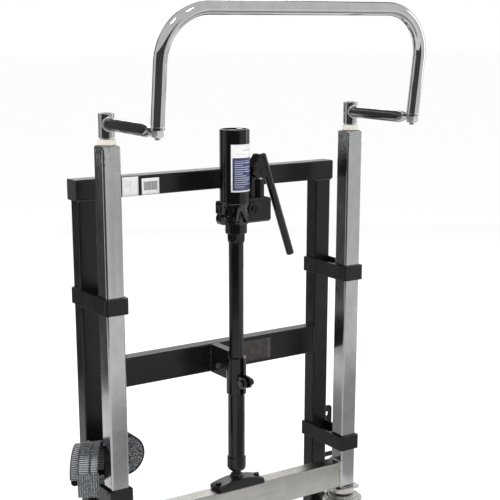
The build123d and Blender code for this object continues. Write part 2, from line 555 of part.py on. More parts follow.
def make_collar_and_bracket():
    collar = rod(COLLAR_RADIUS, COLLAR_Z[0], COLLAR_Z[1], 0, JACK_Y)
    collar = chamfer(collar.edges().sort_by(Axis.Z)[0], 2.0)
    for side in SIDES:
        span = outward(side, 4, 10)
        ear = block(span, (-31, JACK_Y - 10), (EAR_Z - 13, EAR_Z + 13))
        collar += ear + rod_x(13, span[0], span[1], -31, EAR_Z)
    collar -= rod(UPPER_TUBE_RADIUS + RUNNING_GAP, 400, 600, 0, JACK_Y)
    collar -= block((-4, 4), (-60, JACK_Y - 5), (400, 600))
    collar -= rod_x(4.1, -20, 20, -33, EAR_Z)
    place = Pos(JACK_X, 0, 0)
    save("jack_collar", place * collar)
    bolt = rod_x(4.0, -12, 19, -33, EAR_Z)
    bolt += hexagon_x(14, -16, -10, -33, EAR_Z) + hexagon_x(14, 10, 17, -33, EAR_Z)
    save("collar_bolt", place * bolt)

    low, high = BRACKET_X
    bottom_z = MID_BAR_TOP_Z - MID_BAR_HEIGHT
    reach = (10.0, POST_NEAR_Y + 0.3)
    channel = block((low, high), reach, (bottom_z, MID_BAR_TOP_Z))
    channel -= block((low + 5, high + 1), (0, 200), (bottom_z + 5, MID_BAR_TOP_Z - 5))
    channel -= rod(COLLAR_RADIUS, 400, 600, JACK_X, JACK_Y)
    channel -= rod_x(3.1, low - 1, low + 6, 63, 482)
    save("jack_bracket", channel)
    bolt = hexagon_x(10, low - 4.5, low, 63, 482) + rod_x(3.0, low, low + 13, 63, 482)
    bolt += hexagon_x(10, low + 5, low + 10, 63, 482)
    save("bracket_bolt", bolt)


def make_pump():
    solid = block(BLOCK_X, BLOCK_Y, BLOCK_Z)
    solid = fillet(solid.edges().filter_by(Axis.Y).sort_by(Axis.X)[-2:], 7.0)
    solid = chamfer(solid.edges().filter_by(Axis.Z).sort_by(Axis.X)[-2:], 4.0)
    solid -= rod(RESERVOIR_RADIUS + 1, RESERVOIR_Z[0], BLOCK_Z[1] + 1, RESERVOIR_X, JACK_Y)
    face_y = BLOCK_Y[0]
    boss = rod_y(14.5, face_y - 2.5, face_y + 1, RELEASE_X, RELEASE_Z)
    solid += fillet(boss.edges().sort_by(Axis.Y)[0], 1.5)
    solid -= rod_y(9.0, face_y - 3, face_y - 0.5, RELEASE_X, RELEASE_Z)
    solid -= rod_y(4.0 + RUNNING_GAP, face_y - 3, face_y + 22, RELEASE_X, RELEASE_Z)
    solid -= rod(PLUNGER_RADIUS + RUNNING_GAP, BLOCK_Z[1] - 20, BLOCK_Z[1] + 1, PUMP_X, JACK_Y)
    save("pump_block", solid)

    seat_y = face_y - 0.5 - FACE_GAP
    screw = rod_y(6.5, seat_y - 4, seat_y, RELEASE_X, RELEASE_Z)
    screw = chamfer(screw.edges().sort_by(Axis.Y)[0], 1.0)
    screw -= block((RELEASE_X - 1.2, RELEASE_X + 1.2), (seat_y - 5, seat_y - 2),
                   (RELEASE_Z - 20, RELEASE_Z + 20))
    screw += rod_y(4.0, seat_y - 1, face_y + 20, RELEASE_X, RELEASE_Z)
    save("release_screw", screw)

    barrel = rod(PUMP_RADIUS, BLOCK_Z[1], PUMP_TOP_Z, PUMP_X, JACK_Y)
    barrel = chamfer(barrel.edges().sort_by(Axis.Z)[-1], 1.5)
    barrel -= rod(PLUNGER_RADIUS + RUNNING_GAP, BLOCK_Z[1] - 1, PUMP_TOP_Z + 1, PUMP_X, JACK_Y)
    save("pump_barrel", barrel)

    pin_x = FULCRUM[0] + CRANK * math.cos(math.radians(CRANK_ANGLE))
    pin_z = FULCRUM[1] + CRANK * math.sin(math.radians(CRANK_ANGLE))
    stem = rod(PLUNGER_RADIUS, BLOCK_Z[1] - 10, pin_z, PUMP_X, JACK_Y)
    eye = block((PUMP_X - 7.5, PUMP_X + 7.5), (JACK_Y - 7, JACK_Y + 7), (pin_z - 12, pin_z))
    eye += rod_y(7.5, JACK_Y - 7, JACK_Y + 7, PUMP_X, pin_z)
    plunger = stem + eye - rod_y(SLOT_RADIUS, JACK_Y - 9, JACK_Y + 9, PUMP_X, pin_z)
    save("pump_plunger", plunger)

    lug = block((37.5, 45.5), (JACK_Y - 6, JACK_Y + 6), (BLOCK_Z[1], FULCRUM[1]))
    lug += rod_y(6.0, JACK_Y - 6, JACK_Y + 6, FULCRUM[0], FULCRUM[1])
    lug -= rod(PUMP_RADIUS + 0.3, BLOCK_Z[1] - 1, PUMP_TOP_Z + 3, PUMP_X, JACK_Y)
    lug -= rod(RESERVOIR_RADIUS + 0.3, BLOCK_Z[1] - 1, FULCRUM[1] + 20, RESERVOIR_X, JACK_Y)
    lug -= rod_y(FULCRUM_PIN_RADIUS + RUNNING_GAP, -20, 20, *FULCRUM)
    save("fulcrum_lug", lug)

    start = Vector(BAR_TOP[0], JACK_Y, BAR_TOP[1])
    end = Vector(BAR_END[0], JACK_Y, BAR_END[1])
    along = (end - start).normalized()
    bar = Plane(origin=start, z_dir=along) * Pos(0, 0, (end - start).length / 2) * Cylinder(
        BAR_RADIUS, (end - start).length)
    bar = fillet(bar.faces().filter_by(GeomType.PLANE).sort_by(Axis.Z)[-1].edges(), 7.0)
    bar = chamfer(bar.faces().filter_by(GeomType.PLANE).sort_by(Axis.Z)[0].edges(), 1.5)
    save("lever_bar", bar)

    outline = [(37, 917), (36.5, 931), (55, 955.5), (59.1, 957), (76.6, 906), (44, 906)]
    channel = outline_y(outline, JACK_Y - CHEEK_GAP / 2 - CHEEK_THICKNESS,
                        JACK_Y + CHEEK_GAP / 2 + CHEEK_THICKNESS)
    channel = fillet(channel.edges().filter_by(Axis.Y), 2.0)
    gap = (JACK_Y - CHEEK_GAP / 2, JACK_Y + CHEEK_GAP / 2)
    inside = [(30, 880), (31.9, 920.3), (56, 951.6), (57.3, 950), (81.3, 880)]
    channel = channel - outline_y(inside, *gap) - bar
    beside_bar = [(53.5, 957), (66, 925), (90, 925), (90, 970), (53.5, 970)]
    for low, high in ((JACK_Y - 40, gap[0]), (gap[1], JACK_Y + 40)):
        channel -= outline_y(beside_bar, low, high)
    pins = []
    for radius, x, z in ((FULCRUM_PIN_RADIUS, *FULCRUM), (PLUNGER_PIN_RADIUS, pin_x, pin_z)):
        channel -= rod_y(radius + RUNNING_GAP, -40, 40, x, z)
        end = CHEEK_GAP / 2 + CHEEK_THICKNESS
        pin = rod_y(radius, JACK_Y - end - 1, JACK_Y + end + 1.5, x, z)
        pin += rod_y(radius + 1, JACK_Y - end - 1.5, JACK_Y - end, x, z)
        pins.append(pin)
    save("lever_channel", channel)
    save("lever_pins", *pins)


# --- strap ------------------------------------------------------------------------------
def make_strap():
    x, z = ROLL_CENTRE
    roll = rod_y(ROLL_RADIUS, ROLL_NEAR_Y, ROLL_NEAR_Y + WEBBING, x, z)
    roll &= block((ROLL_FLAT_X, 0), (0, 100), (0, 500))
    save("strap_roll", roll)
    band_top = BAND_Z[0] + BAND_HEIGHT / 2
    fold = block((-329, -275), (ROLL_NEAR_Y + 1, ROLL_NEAR_Y + WEBBING - 1),
                 (band_top, z - ROLL_RADIUS))
    bundle = block((-371, -329), (22, 60), (266, 386))
    bundle = fillet(bundle.edges().filter_by(Axis.X), 16.0)
    save("strap_bundle", fold + bundle)


os.makedirs("parts", exist_ok=True)
make_frame()
make_jack_foot()
make_casters()
for arm_side, arm_name in zip(SIDES, ("left", "right")):
    make_arm(arm_side, arm_name)
make_handle()
make_carriage()
make_guides()
make_strap_anchors()
make_jack()
make_collar_and_bracket()
make_pump()
make_strap()
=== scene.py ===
import json
import math
import random

import bpy
from mathutils import Matrix, Vector


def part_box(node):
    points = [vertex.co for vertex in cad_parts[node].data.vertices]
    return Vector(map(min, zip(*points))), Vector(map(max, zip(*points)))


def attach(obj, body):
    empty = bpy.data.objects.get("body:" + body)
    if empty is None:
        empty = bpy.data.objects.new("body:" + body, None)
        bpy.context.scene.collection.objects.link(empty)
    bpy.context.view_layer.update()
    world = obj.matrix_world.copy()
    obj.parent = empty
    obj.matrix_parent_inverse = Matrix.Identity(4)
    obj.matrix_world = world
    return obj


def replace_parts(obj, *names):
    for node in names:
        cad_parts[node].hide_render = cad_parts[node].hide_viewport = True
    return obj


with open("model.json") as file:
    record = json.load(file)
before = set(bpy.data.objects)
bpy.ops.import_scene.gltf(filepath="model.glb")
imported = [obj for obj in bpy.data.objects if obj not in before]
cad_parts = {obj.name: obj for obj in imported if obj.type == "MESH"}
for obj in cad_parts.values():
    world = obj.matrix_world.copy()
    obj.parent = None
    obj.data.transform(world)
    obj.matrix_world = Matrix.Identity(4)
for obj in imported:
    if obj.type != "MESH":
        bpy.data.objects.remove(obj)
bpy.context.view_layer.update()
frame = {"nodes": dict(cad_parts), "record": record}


# --- camera, light and floor --------------------------------------------------------------
def make_camera():
    data = bpy.data.cameras.new("camera")
    data.sensor_width = 36.0
    data.lens = 83.907
    data.shift_x = 0.00805
    data.shift_y = 0.1277
    data.clip_end = 200.0
    camera = bpy.data.objects.new("camera", data)
    yaw, pitch = math.radians(33.607), math.radians(-13.982)
    level = math.cos(pitch)
    forward = Vector((math.sin(yaw) * level, math.cos(yaw) * level, math.sin(pitch)))
    camera.location = (-1.34153, -2.02415, 1.22408)
    camera.rotation_euler = forward.to_track_quat("-Z", "Y").to_euler()
    bpy.context.scene.collection.objects.link(camera)
    bpy.context.scene.camera = camera


def area_light(name, place, aim, size, power, colour=(1.0, 1.0, 1.0)):
    data = bpy.data.lights.new(name, "AREA")
    data.shape = "RECTANGLE"
    data.size, data.size_y = size
    data.energy = power
    data.color = colour
    lamp = bpy.data.objects.new(name, data)
    lamp.location = place
    lamp.rotation_euler = (Vector(aim) - Vector(place)).to_track_quat("-Z", "Y").to_euler()
    bpy.context.scene.collection.objects.link(lamp)


CARD_LIFT = 0.002            # how far a lying card is above the floor
SPARK = (0.34, 0.34)         # size of the two small lamps that make the glints


def bend(radius, first, last, step):
    """Points on the floor along part of a circle round the object, by compass angle from +Y."""
    angles = [math.radians(a) for a in range(first, last, step)]
    return [(radius * math.sin(a), radius * math.cos(a)) for a in angles]


def standing(line, low, high):
    return [(x, y, low) for x, y in line] + [(x, y, high) for x, y in line]


def lying(near, far):
    return [(x, y, CARD_LIFT) for x, y in near + far]


def flag(name, points, grey):
    """A card that only reflections see, between two rows of points."""
    n = len(points) // 2
    faces = [(i, i + 1, n + i + 1, n + i) for i in range(n - 1)]
    mesh = bpy.data.meshes.new(name)
    mesh.from_pydata(points, [], faces)
    card = bpy.data.objects.new(name, mesh)
    bpy.context.scene.collection.objects.link(card)
    mesh.materials.append(paper(name, (grey, grey, grey), 1.0).material)
    card.visible_camera = False
    card.visible_diffuse = False
    card.visible_shadow = False


def make_studio():
    scene = bpy.context.scene
    scene.view_settings.view_transform = "Standard"
    world = bpy.data.worlds.new("studio")
    world.use_nodes = True
    scene.world = world
    backdrop = world.node_tree.nodes["Background"]
    backdrop.inputs["Color"].default_value = (1.0, 1.0, 1.0, 1.0)
    backdrop.inputs["Strength"].default_value = 1.0

    area_light("spark_left", (-1.45, -0.75, 3.1), (0, 0, 0.6), SPARK, 15)
    area_light("spark_front", (-0.15, -1.75, 3.1), (0, 0, 0.6), SPARK, 15)
    area_light("rim", (1.4, 2.8, 2.6), (0, 0, 0.7), (1.6, 1.0), 26)
    area_light("side", (3.2, -0.9, 1.5), (0, 0, 0.6), (0.8, 2.0), 16)

    floor_mesh = bpy.data.meshes.new("floor")
    floor_mesh.from_pydata([(-40, -40, 0), (40, -40, 0), (40, 40, 0), (-40, 40, 0)], [], [(0, 1, 2, 3)])
    floor = bpy.data.objects.new("floor", floor_mesh)
    scene.collection.objects.link(floor)
    floor.data.materials.append(paper("studio_floor", (0.985, 0.985, 0.985), 0.95).material)

    wall = [(x, -y) for x, y in bend(2.3, -98, 9, 4)]
    flag("flag_behind_camera", standing(wall, 0.02, 1.5), 0.06)
    flag("flag_back_left", standing([(-1.30, 1.38), (-0.45, 1.38)], 0.01, 2.0), 0.06)
    near, far = [-0.60, -0.55, -0.28, -0.28], -1.25
    columns = [-0.4, 0.35, 0.62, 2.0]
    flag("card_front", lying(list(zip(columns, near)), [(x, far) for x in columns]), 0.38)
    flag("flag_high_back", standing(bend(3.2, -20, 80, 5), 2.35, 4.2), 0.10)
    flag("card_far", lying([(0.3, 1.45), (1.8, 0.6)], [(1.6, 4.5), (4.2, 3.0)]), 0.12)
    flag("card_back", lying([(-0.52, 0.45), (0.10, 0.45)], [(-0.52, 1.37), (0.10, 1.37)]), 0.28)


# --- materials ----------------------------------------------------------------------------
class Shader:
    """A Principled material, with short ways to add nodes that are in the object's own space."""

    def __init__(self, name, **sockets):
        self.material = bpy.data.materials.new(name)
        self.material.use_nodes = True
        self.tree = self.material.node_tree
        self.base = self.tree.nodes["Principled BSDF"]
        for socket, value in sockets.items():
            self.base.inputs[socket.replace("_", " ")].default_value = value
        self.place = self.node("ShaderNodeTexCoord").outputs["Object"]

    def node(self, kind, inputs=None, **settings):
        made = self.tree.nodes.new(kind)
        for key, value in settings.items():
            setattr(made, key, value)
        for key, value in (inputs or {}).items():
            self.set(made.inputs[key], value)
        return made

    def set(self, socket, value):
        if isinstance(value, bpy.types.NodeSocket):
            self.tree.links.new(value, socket)
        else:
            socket.default_value = value

    def noise(self, scale, detail=3.0, stretch=(1, 1, 1), rough=0.55, place=None):
        where = self.node("ShaderNodeMapping", {"Vector": place or self.place, "Scale": stretch})
        made = self.node("ShaderNodeTexNoise", {"Vector": where.outputs[0], "Scale": scale,
                                               "Detail": detail, "Roughness": rough})
        return made.outputs["Fac"]

    def ramp(self, value, *stops):
        made = self.node("ShaderNodeValToRGB", {"Fac": value})
        elements = made.color_ramp.elements
        while len(elements) < len(stops):
            elements.new(0.5)
        for element, (position, colour) in zip(elements, stops):
            element.position = position
            grey = isinstance(colour, (int, float))
            element.color = (colour, colour, colour, 1) if grey else (*colour, 1)
        return made.outputs["Color"]

    def range(self, value, low, high, start=0.0, stop=1.0):
        made = self.node("ShaderNodeMapRange", {"Value": value, "From Min": start, "From Max": stop,
                                               "To Min": low, "To Max": high})
        return made.outputs["Result"]

    def math(self, operation, first, second=0.0):
        return self.node("ShaderNodeMath", {0: first, 1: second}, operation=operation).outputs[0]

    def mix(self, factor, first, second):
        made = self.node("ShaderNodeMix", data_type="RGBA")
        self.set(made.inputs["Factor"], factor)
        for socket, value in ((made.inputs["A"], first), (made.inputs["B"], second)):
            self.set(socket, value if isinstance(value, bpy.types.NodeSocket) else (*value, 1))
        return made.outputs["Result"]

    def bump(self, *layers):
        """Stacks (height, strength, distance) layers into the normal."""
        normal = None
        for height, strength, distance in layers:
            made = self.node("ShaderNodeBump", {"Height": height, "Strength": strength,
                                               "Distance": distance})
            if normal:
                self.set(made.inputs["Normal"], normal)
            normal = made.outputs[0]
        self.set(self.base.inputs["Normal"], normal)

    def paint(self, **sockets):
        for socket, value in sockets.items():
            self.set(self.base.inputs[socket.replace("_", " ")], value)
        return self


def paper(name, colour, rough):
    shader = Shader(name, Roughness=rough)
    grain = shader.noise(60.0, 2.0)
    shade = shader.mix(grain, [c * 0.985 for c in colour], colour)
    return shader.paint(Base_Color=shade)


def chrome(name, tint, low, high, stretch, wave=0.02, streak=0.25, hammer=(2.0, 3.0)):
    """Plated steel: smears and drawn streaks along the tube, specks, and dents from one height up."""
    shader = Shader(name, Metallic=1.0)
    smear = shader.noise(9.0, 4.0, rough=0.6)
    lines = shader.noise(260.0, 2.0, stretch)
    bands = shader.ramp(shader.noise(75.0, 3.0, stretch, rough=0.7), (0.35, 0.0), (0.62, 1.0))
    haze = shader.noise(38.0, 5.0, rough=0.7)
    colour = shader.mix(shader.ramp(haze, (0.35, 0.0), (0.75, 1.0)), tint, [c * 0.84 for c in tint])
    patch = shader.ramp(shader.noise(5.0, 3.0), (0.42, 0.0), (0.62, 1.0))
    dull = shader.math("MULTIPLY", bands, shader.range(patch, 0.15 * streak, streak))
    colour = shader.mix(dull, colour, (tint[0] * 0.50, tint[1] * 0.49, tint[2] * 0.46))
    specks = shader.ramp(shader.noise(700.0, 1.0), (0.70, 0.0), (0.78, 1.0))
    colour = shader.mix(shader.math("MULTIPLY", specks, 0.35), colour, [c * 0.4 for c in tint])
    shader.paint(Base_Color=colour, Roughness=shader.range(smear, low, high, 0.3, 0.7))
    height = shader.node("ShaderNodeSeparateXYZ", {0: shader.place}).outputs["Z"]
    dents = shader.math("MULTIPLY", shader.noise(85.0, 2.0), shader.range(height, 0.0, 1.0, *hammer))
    shader.bump((smear, wave, 0.02), (lines, 0.05, 0.0006), (dents, 0.6, 0.003))
    return shader.material


def black_paint(name, colour, low, high, level, peel=0.12, dust=0.25, cast=0.0):
    """Sprayed black enamel with orange peel, uneven gloss and a little dust, lumpy if cast is above 0."""
    shader = Shader(name, Specular_IOR_Level=level)
    cloud = shader.noise(14.0, 4.0)
    skin = shader.noise(620.0, 2.0)
    motes = shader.ramp(shader.noise(1100.0, 1.0), (0.72, 0.0), (0.80, 1.0))
    shade = shader.mix(cloud, [c * 0.7 for c in colour], [c * 1.4 for c in colour])
    shade = shader.mix(shader.math("MULTIPLY", motes, dust), shade, (0.10, 0.098, 0.092))
    shader.paint(Base_Color=shade, Roughness=shader.range(cloud, low, high, 0.3, 0.7))
    lumps = shader.noise(75.0, 1.5, rough=0.5)
    shader.bump((cloud, 0.03, 0.01), (skin, peel, 0.0006), (lumps, cast, 0.003))
    return shader.material


def plated_steel(name, tint, low=0.22, high=0.42):
    """Zinc plate: a cloudy satin metal with fine scratches."""
    shader = Shader(name, Metallic=1.0)
    cloud = shader.noise(60.0, 4.0, rough=0.7)
    lines = shader.noise(420.0, 2.0, (1, 6, 1))
    shade = shader.mix(cloud, [c * 0.78 for c in tint], tint)
    shader.paint(Base_Color=shade, Roughness=shader.range(cloud, low, high, 0.3, 0.7))
    shader.bump((lines, 0.12, 0.0006))
    return shader.material


def moulded_plastic(name, colour, rough):
    shader = Shader(name, Specular_IOR_Level=0.45, Subsurface_Weight=0.08, Subsurface_Scale=0.002)
    cloud = shader.noise(45.0, 3.0)
    grain = shader.noise(900.0, 2.0)
    shade = shader.mix(cloud, [c * 0.86 for c in colour], colour)
    shader.paint(Base_Color=shade, Roughness=shader.range(grain, rough - 0.08, rough + 0.1))
    shader.bump((grain, 0.15, 0.0004))
    return shader.material


def wheel_material(name, colour, rough):
    shader = Shader(name, Specular_IOR_Level=0.4)
    cloud = shader.noise(30.0, 4.0)
    grain = shader.noise(800.0, 2.0)
    grime = shader.ramp(shader.noise(120.0, 5.0, rough=0.75), (0.45, 0.0), (0.75, 1.0))
    shade = shader.mix(cloud, [c * 0.8 for c in colour], colour)
    shade = shader.mix(shader.math("MULTIPLY", grime, 0.3), shade, (0.2, 0.19, 0.17))
    shader.paint(Base_Color=shade, Roughness=shader.range(cloud, rough - 0.1, rough + 0.1))
    shader.bump((grain, 0.2, 0.0004))
    return shader.material


def webbing_material(name, dark, light, style):
    """Woven polyester strap, from the strap's own UVs in metres: ribs across it in two columns, the same
    ribs fading where the strap bends over, dashes along it, or the speckle of its edges in a roll."""
    shader = Shader(name, Roughness=0.8, Specular_IOR_Level=0.3, Sheen_Weight=0.2, Sheen_Roughness=0.5)
    uv = shader.node("ShaderNodeUVMap", uv_map="weave").outputs[0]
    part = shader.node("ShaderNodeSeparateXYZ", {0: uv})
    jitter = shader.noise(170.0, 2.0, place=uv)
    fine = shader.noise(520.0, 2.0, place=uv)
    if style in ("ribs", "bent"):
        phase = shader.math("ADD", shader.math("MULTIPLY", part.outputs["Y"], 2 * math.pi / 0.0038),
                            shader.math("MULTIPLY", jitter, 1.2))
        rib = shader.range(shader.math("SINE", phase), 0.0, 1.0, -0.1, 0.75)
        column = shader.math("ABSOLUTE", shader.math("SINE", shader.math(
            "MULTIPLY", part.outputs["X"], 2 * math.pi / WEB)))
        rib = shader.math("MULTIPLY", rib, shader.range(column, 0.0, 1.0, 0.22, 0.42))
        if style == "bent":
            level = shader.node("ShaderNodeSeparateXYZ", {0: shader.place}).outputs["Z"]
            rib = shader.math("MULTIPLY", rib, shader.range(level, 1.0, 0.22, 0.340, 0.356))
        height = rib
        value = shader.math("ADD", rib, shader.range(fine, -0.45, 0.45, 0.3, 0.7))
    elif style == "dashes":
        across = shader.math("SINE", shader.math("ADD", shader.math(
            "MULTIPLY", part.outputs["X"], 2 * math.pi / 0.0048), shader.math("MULTIPLY", jitter, 2.5)))
        gaps = shader.noise(1.0, 2.0, (520.0, 160.0, 1.0), place=uv)
        height = shader.math("MULTIPLY", shader.range(across, 0.0, 1.0, -0.3, 0.9),
                             shader.range(gaps, 0.0, 1.0, 0.42, 0.58))
        value = shader.math("ADD", shader.math("MULTIPLY", height, 0.45),
                            shader.range(fine, -0.15, 0.45, 0.3, 0.7))
    else:
        speck = shader.noise(430.0, 1.0)
        height = shader.range(speck, 0.0, 1.0, 0.53, 0.585)
        value = shader.math("ADD", height, shader.range(fine, -0.3, 0.3, 0.3, 0.7))
    shade = shader.mix(shader.range(value, 0.0, 1.0, 0.05, 0.95), dark, light)
    wide = shader.noise(26.0, 3.0)
    shade = shader.mix(shader.range(wide, 0.0, 0.4), shade, dark)
    shader.paint(Base_Color=shade)
    shader.bump((height, 0.8, 0.0009), (fine, 0.3, 0.0004))
    return shader.material


def label_material(name, style):
    """A printed sticker from UVs that run from 0 to 1, with plain bars in place of any print."""
    shader = Shader(name, Specular_IOR_Level=0.3, Coat_Weight=0.08, Coat_Roughness=0.2)
    uv = shader.node("ShaderNodeUVMap", uv_map="print").outputs[0]
    part = shader.node("ShaderNodeSeparateXYZ", {0: uv})
    across, up = part.outputs["X"], part.outputs["Y"]

    def inside(value, low, high):
        return shader.math("MULTIPLY", shader.math("GREATER_THAN", value, low),
                           shader.math("LESS_THAN", value, high))

    def bars(count, thick, left, right):
        """Thin level bars, each with its own ragged length."""
        scaled = shader.math("MULTIPLY", up, count)
        row = shader.math("FLOOR", scaled)
        share = shader.math("SUBTRACT", scaled, row)
        key = shader.node("ShaderNodeCombineXYZ", {0: row, 1: 3.7, 2: 0.0}).outputs[0]
        length = shader.range(shader.noise(3.1, 1.0, place=key), left + 0.2, right, 0.35, 0.6)
        return shader.math("MULTIPLY", inside(share, 0.5 - thick / 2, 0.5 + thick / 2),
                           shader.math("MULTIPLY", shader.math("GREATER_THAN", across, left),
                                       shader.math("LESS_THAN", across, length)))

    white = (0.80, 0.80, 0.79)
    if style == "panel":
        blue = shader.math("MULTIPLY", inside(across, 0.05, 0.97), inside(up, 0.035, 0.72))
        shade = shader.mix(blue, white, (0.010, 0.020, 0.11))
        rows = shader.math("MULTIPLY", bars(22.0, 0.36, 0.12, 0.92), inside(up, 0.07, 0.66))
        shade = shader.mix(shader.math("MULTIPLY", rows, 0.6), shade, (0.62, 0.64, 0.72))
        head = shader.math("MULTIPLY", inside(up, 0.79, 0.80), inside(across, 0.14, 0.82))
        block = shader.math("MULTIPLY", inside(up, 0.862, 0.892), inside(across, 0.42, 0.80))
        print_mask = shader.math("MULTIPLY", shader.math("ADD", head, block), 0.4)
        shade = shader.mix(print_mask, shade, (0.2, 0.2, 0.2))
    elif style == "lines":
        rows = shader.math("MULTIPLY", bars(9.0, 0.3, 0.10, 0.62), inside(up, 0.45, 0.92))
        shade = shader.mix(shader.math("MULTIPLY", rows, 0.45), white, (0.25, 0.25, 0.26))
        rule = shader.math("MULTIPLY", inside(across, 0.50, 0.53), inside(up, 0.08, 0.92))
        shade = shader.mix(shader.math("MULTIPLY", rule, 0.4), shade, (0.25, 0.25, 0.26))
    elif style == "block":
        stripe = shader.ramp(shader.noise(1.0, 0.0, (70.0, 0.0, 0.0), place=uv), (0.48, 0.0), (0.52, 1.0))
        area = shader.math("MULTIPLY", inside(across, 0.12, 0.88), inside(up, 0.26, 0.80))
        print_mask = shader.math("MULTIPLY", area, shader.range(stripe, 0.45, 0.95))
        shade = shader.mix(print_mask, white, (0.07, 0.07, 0.075))
    else:
        shade = shader.mix(shader.noise(30.0, 3.0), (0.012, 0.009, 0.008), (0.022, 0.016, 0.013))
    soil = shader.noise(90.0, 4.0, rough=0.7)
    shade = shader.mix(shader.range(soil, 0.0, 0.12, 0.3, 0.7), shade, (0.3, 0.29, 0.27))
    shader.paint(Base_Color=shade, Roughness=shader.range(soil, 0.25, 0.45))
    shader.bump((soil, 0.1, 0.0005))
    return shader.material


def weld_material(name, tint):
    shader = Shader(name, Metallic=1.0)
    cloud = shader.noise(180.0, 4.0, rough=0.7)
    shade = shader.mix(cloud, [c * 0.6 for c in tint], tint)
    shader.paint(Base_Color=shade, Roughness=shader.range(cloud, 0.2, 0.5))
    shader.bump((cloud, 0.4, 0.001))
    return shader.material


# --- mesh helpers -------------------------------------------------------------------------
def piece(name, points, faces, material, body, smooth=True):
    mesh = bpy.data.meshes.new(name)
    mesh.from_pydata([tuple(p) for p in points], [], faces)
    mesh.update()
    made = bpy.data.objects.new(name, mesh)
    bpy.context.scene.collection.objects.link(made)
    mesh.materials.append(material)
    if smooth:
        mesh.shade_smooth()
    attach(made, body)
    return made


def bead(name, path, radius, material, body, seed=1, closed=True):
    """A weld bead along a path of (point, outward direction) pairs, rippled as a weld is."""
    rng = random.Random(seed)
    ring = 7
    points = []
    count = len(path)
    for i, (place, out) in enumerate(path):
        before = path[(i - 1) % count][0] if closed or i else place
        after = path[(i + 1) % count][0] if closed or i < count - 1 else place
        along = (after - before).normalized()
        out = (out - along * out.dot(along)).normalized()
        side = along.cross(out)
        swell = radius * (1 + 0.16 * math.sin(i * 1.9) + rng.uniform(-0.12, 0.12))
        for k in range(ring):
            turn = 2 * math.pi * k / ring
            points.append(place + (out * math.cos(turn) + side * math.sin(turn)) * swell)
    faces = []
    for i in range(count if closed else count - 1):
        for k in range(ring):
            a, b = i * ring + k, i * ring + (k + 1) % ring
            c, d = ((i + 1) % count) * ring + k, ((i + 1) % count) * ring + (k + 1) % ring
            faces.append((a, b, d, c))
    if not closed:
        faces.append(tuple(range(ring))[::-1])
        faces.append(tuple((count - 1) * ring + k for k in range(ring)))
    return piece(name, points, faces, material, body)


def strap(name, centres, width, thickness, material, body, seed=1, ruffle=0.0):
    """A flat strap along a list of (point, width direction) pairs, closed, with UVs in metres."""
    rng = random.Random(seed)
    lanes = 6
    points, faces = [], []
    travelled = [0.0]
    for (a, _), (b, _) in zip(centres, centres[1:]):
        travelled.append(travelled[-1] + (b - a).length)
    phase = [rng.uniform(0, 6.28) for _ in range(lanes + 1)]
    for i, (place, wide) in enumerate(centres):
        before = centres[max(i - 1, 0)][0]
        after = centres[min(i + 1, len(centres) - 1)][0]
        along = (after - before).normalized()
        wide = (wide - along * wide.dot(along)).normalized()
        out = along.cross(wide)
        for layer in (-0.5, 0.5):
            for lane in range(lanes + 1):
                share = lane / lanes - 0.5
                edge = 0.72 if lane in (0, lanes) else 1.0
                wobble = ruffle * math.sin(travelled[i] * 90 + phase[lane])
                points.append(place + wide * share * width + out * (layer * thickness * edge + wobble))
    row = 2 * (lanes + 1)
    for i in range(len(centres) - 1):
        for lane in range(lanes):
            low, top = i * row + lane, i * row + lanes + 1 + lane
            faces.append((low, low + row, low + row + 1, low + 1))
            faces.append((top, top + 1, top + row + 1, top + row))
        first, last = i * row, i * row + lanes
        faces.append((first, first + lanes + 1, first + row + lanes + 1, first + row))
        faces.append((last, last + row, last + row + lanes + 1, last + lanes + 1))
    for end in (0, len(centres) - 1):
        base = end * row
        for lane in range(lanes):
            quad = (base + lane, base + lane + 1, base + lanes + 2 + lane, base + lanes + 1 + lane)
            faces.append(quad if end == 0 else quad[::-1])
    made = piece(name, points, faces, material, body)
    layer = made.data.uv_layers.new(name="weave")
    for loop in made.data.loops:
        i, k = divmod(loop.vertex_index, row)
        layer.data[loop.index].uv = ((k % (lanes + 1)) / lanes * width, travelled[i])
    return made, travelled[-1]


def smooth_path(knots, spacing):
    """Points along a smooth curve through the knots, about spacing apart."""
    points = []
    for i in range(len(knots) - 1):
        p0, p1 = knots[max(i - 1, 0)], knots[i]
        p2, p3 = knots[i + 1], knots[min(i + 2, len(knots) - 1)]
        steps = max(2, round((p2 - p1).length / spacing))
        for s in range(steps):
            t = s / steps
            points.append(0.5 * ((2 * p1) + (p2 - p0) * t + (2 * p0 - 5 * p1 + 4 * p2 - p3) * t * t
                                 + (3 * p1 - p0 - 3 * p2 + p3) * t ** 3))
    return points + [knots[-1]]


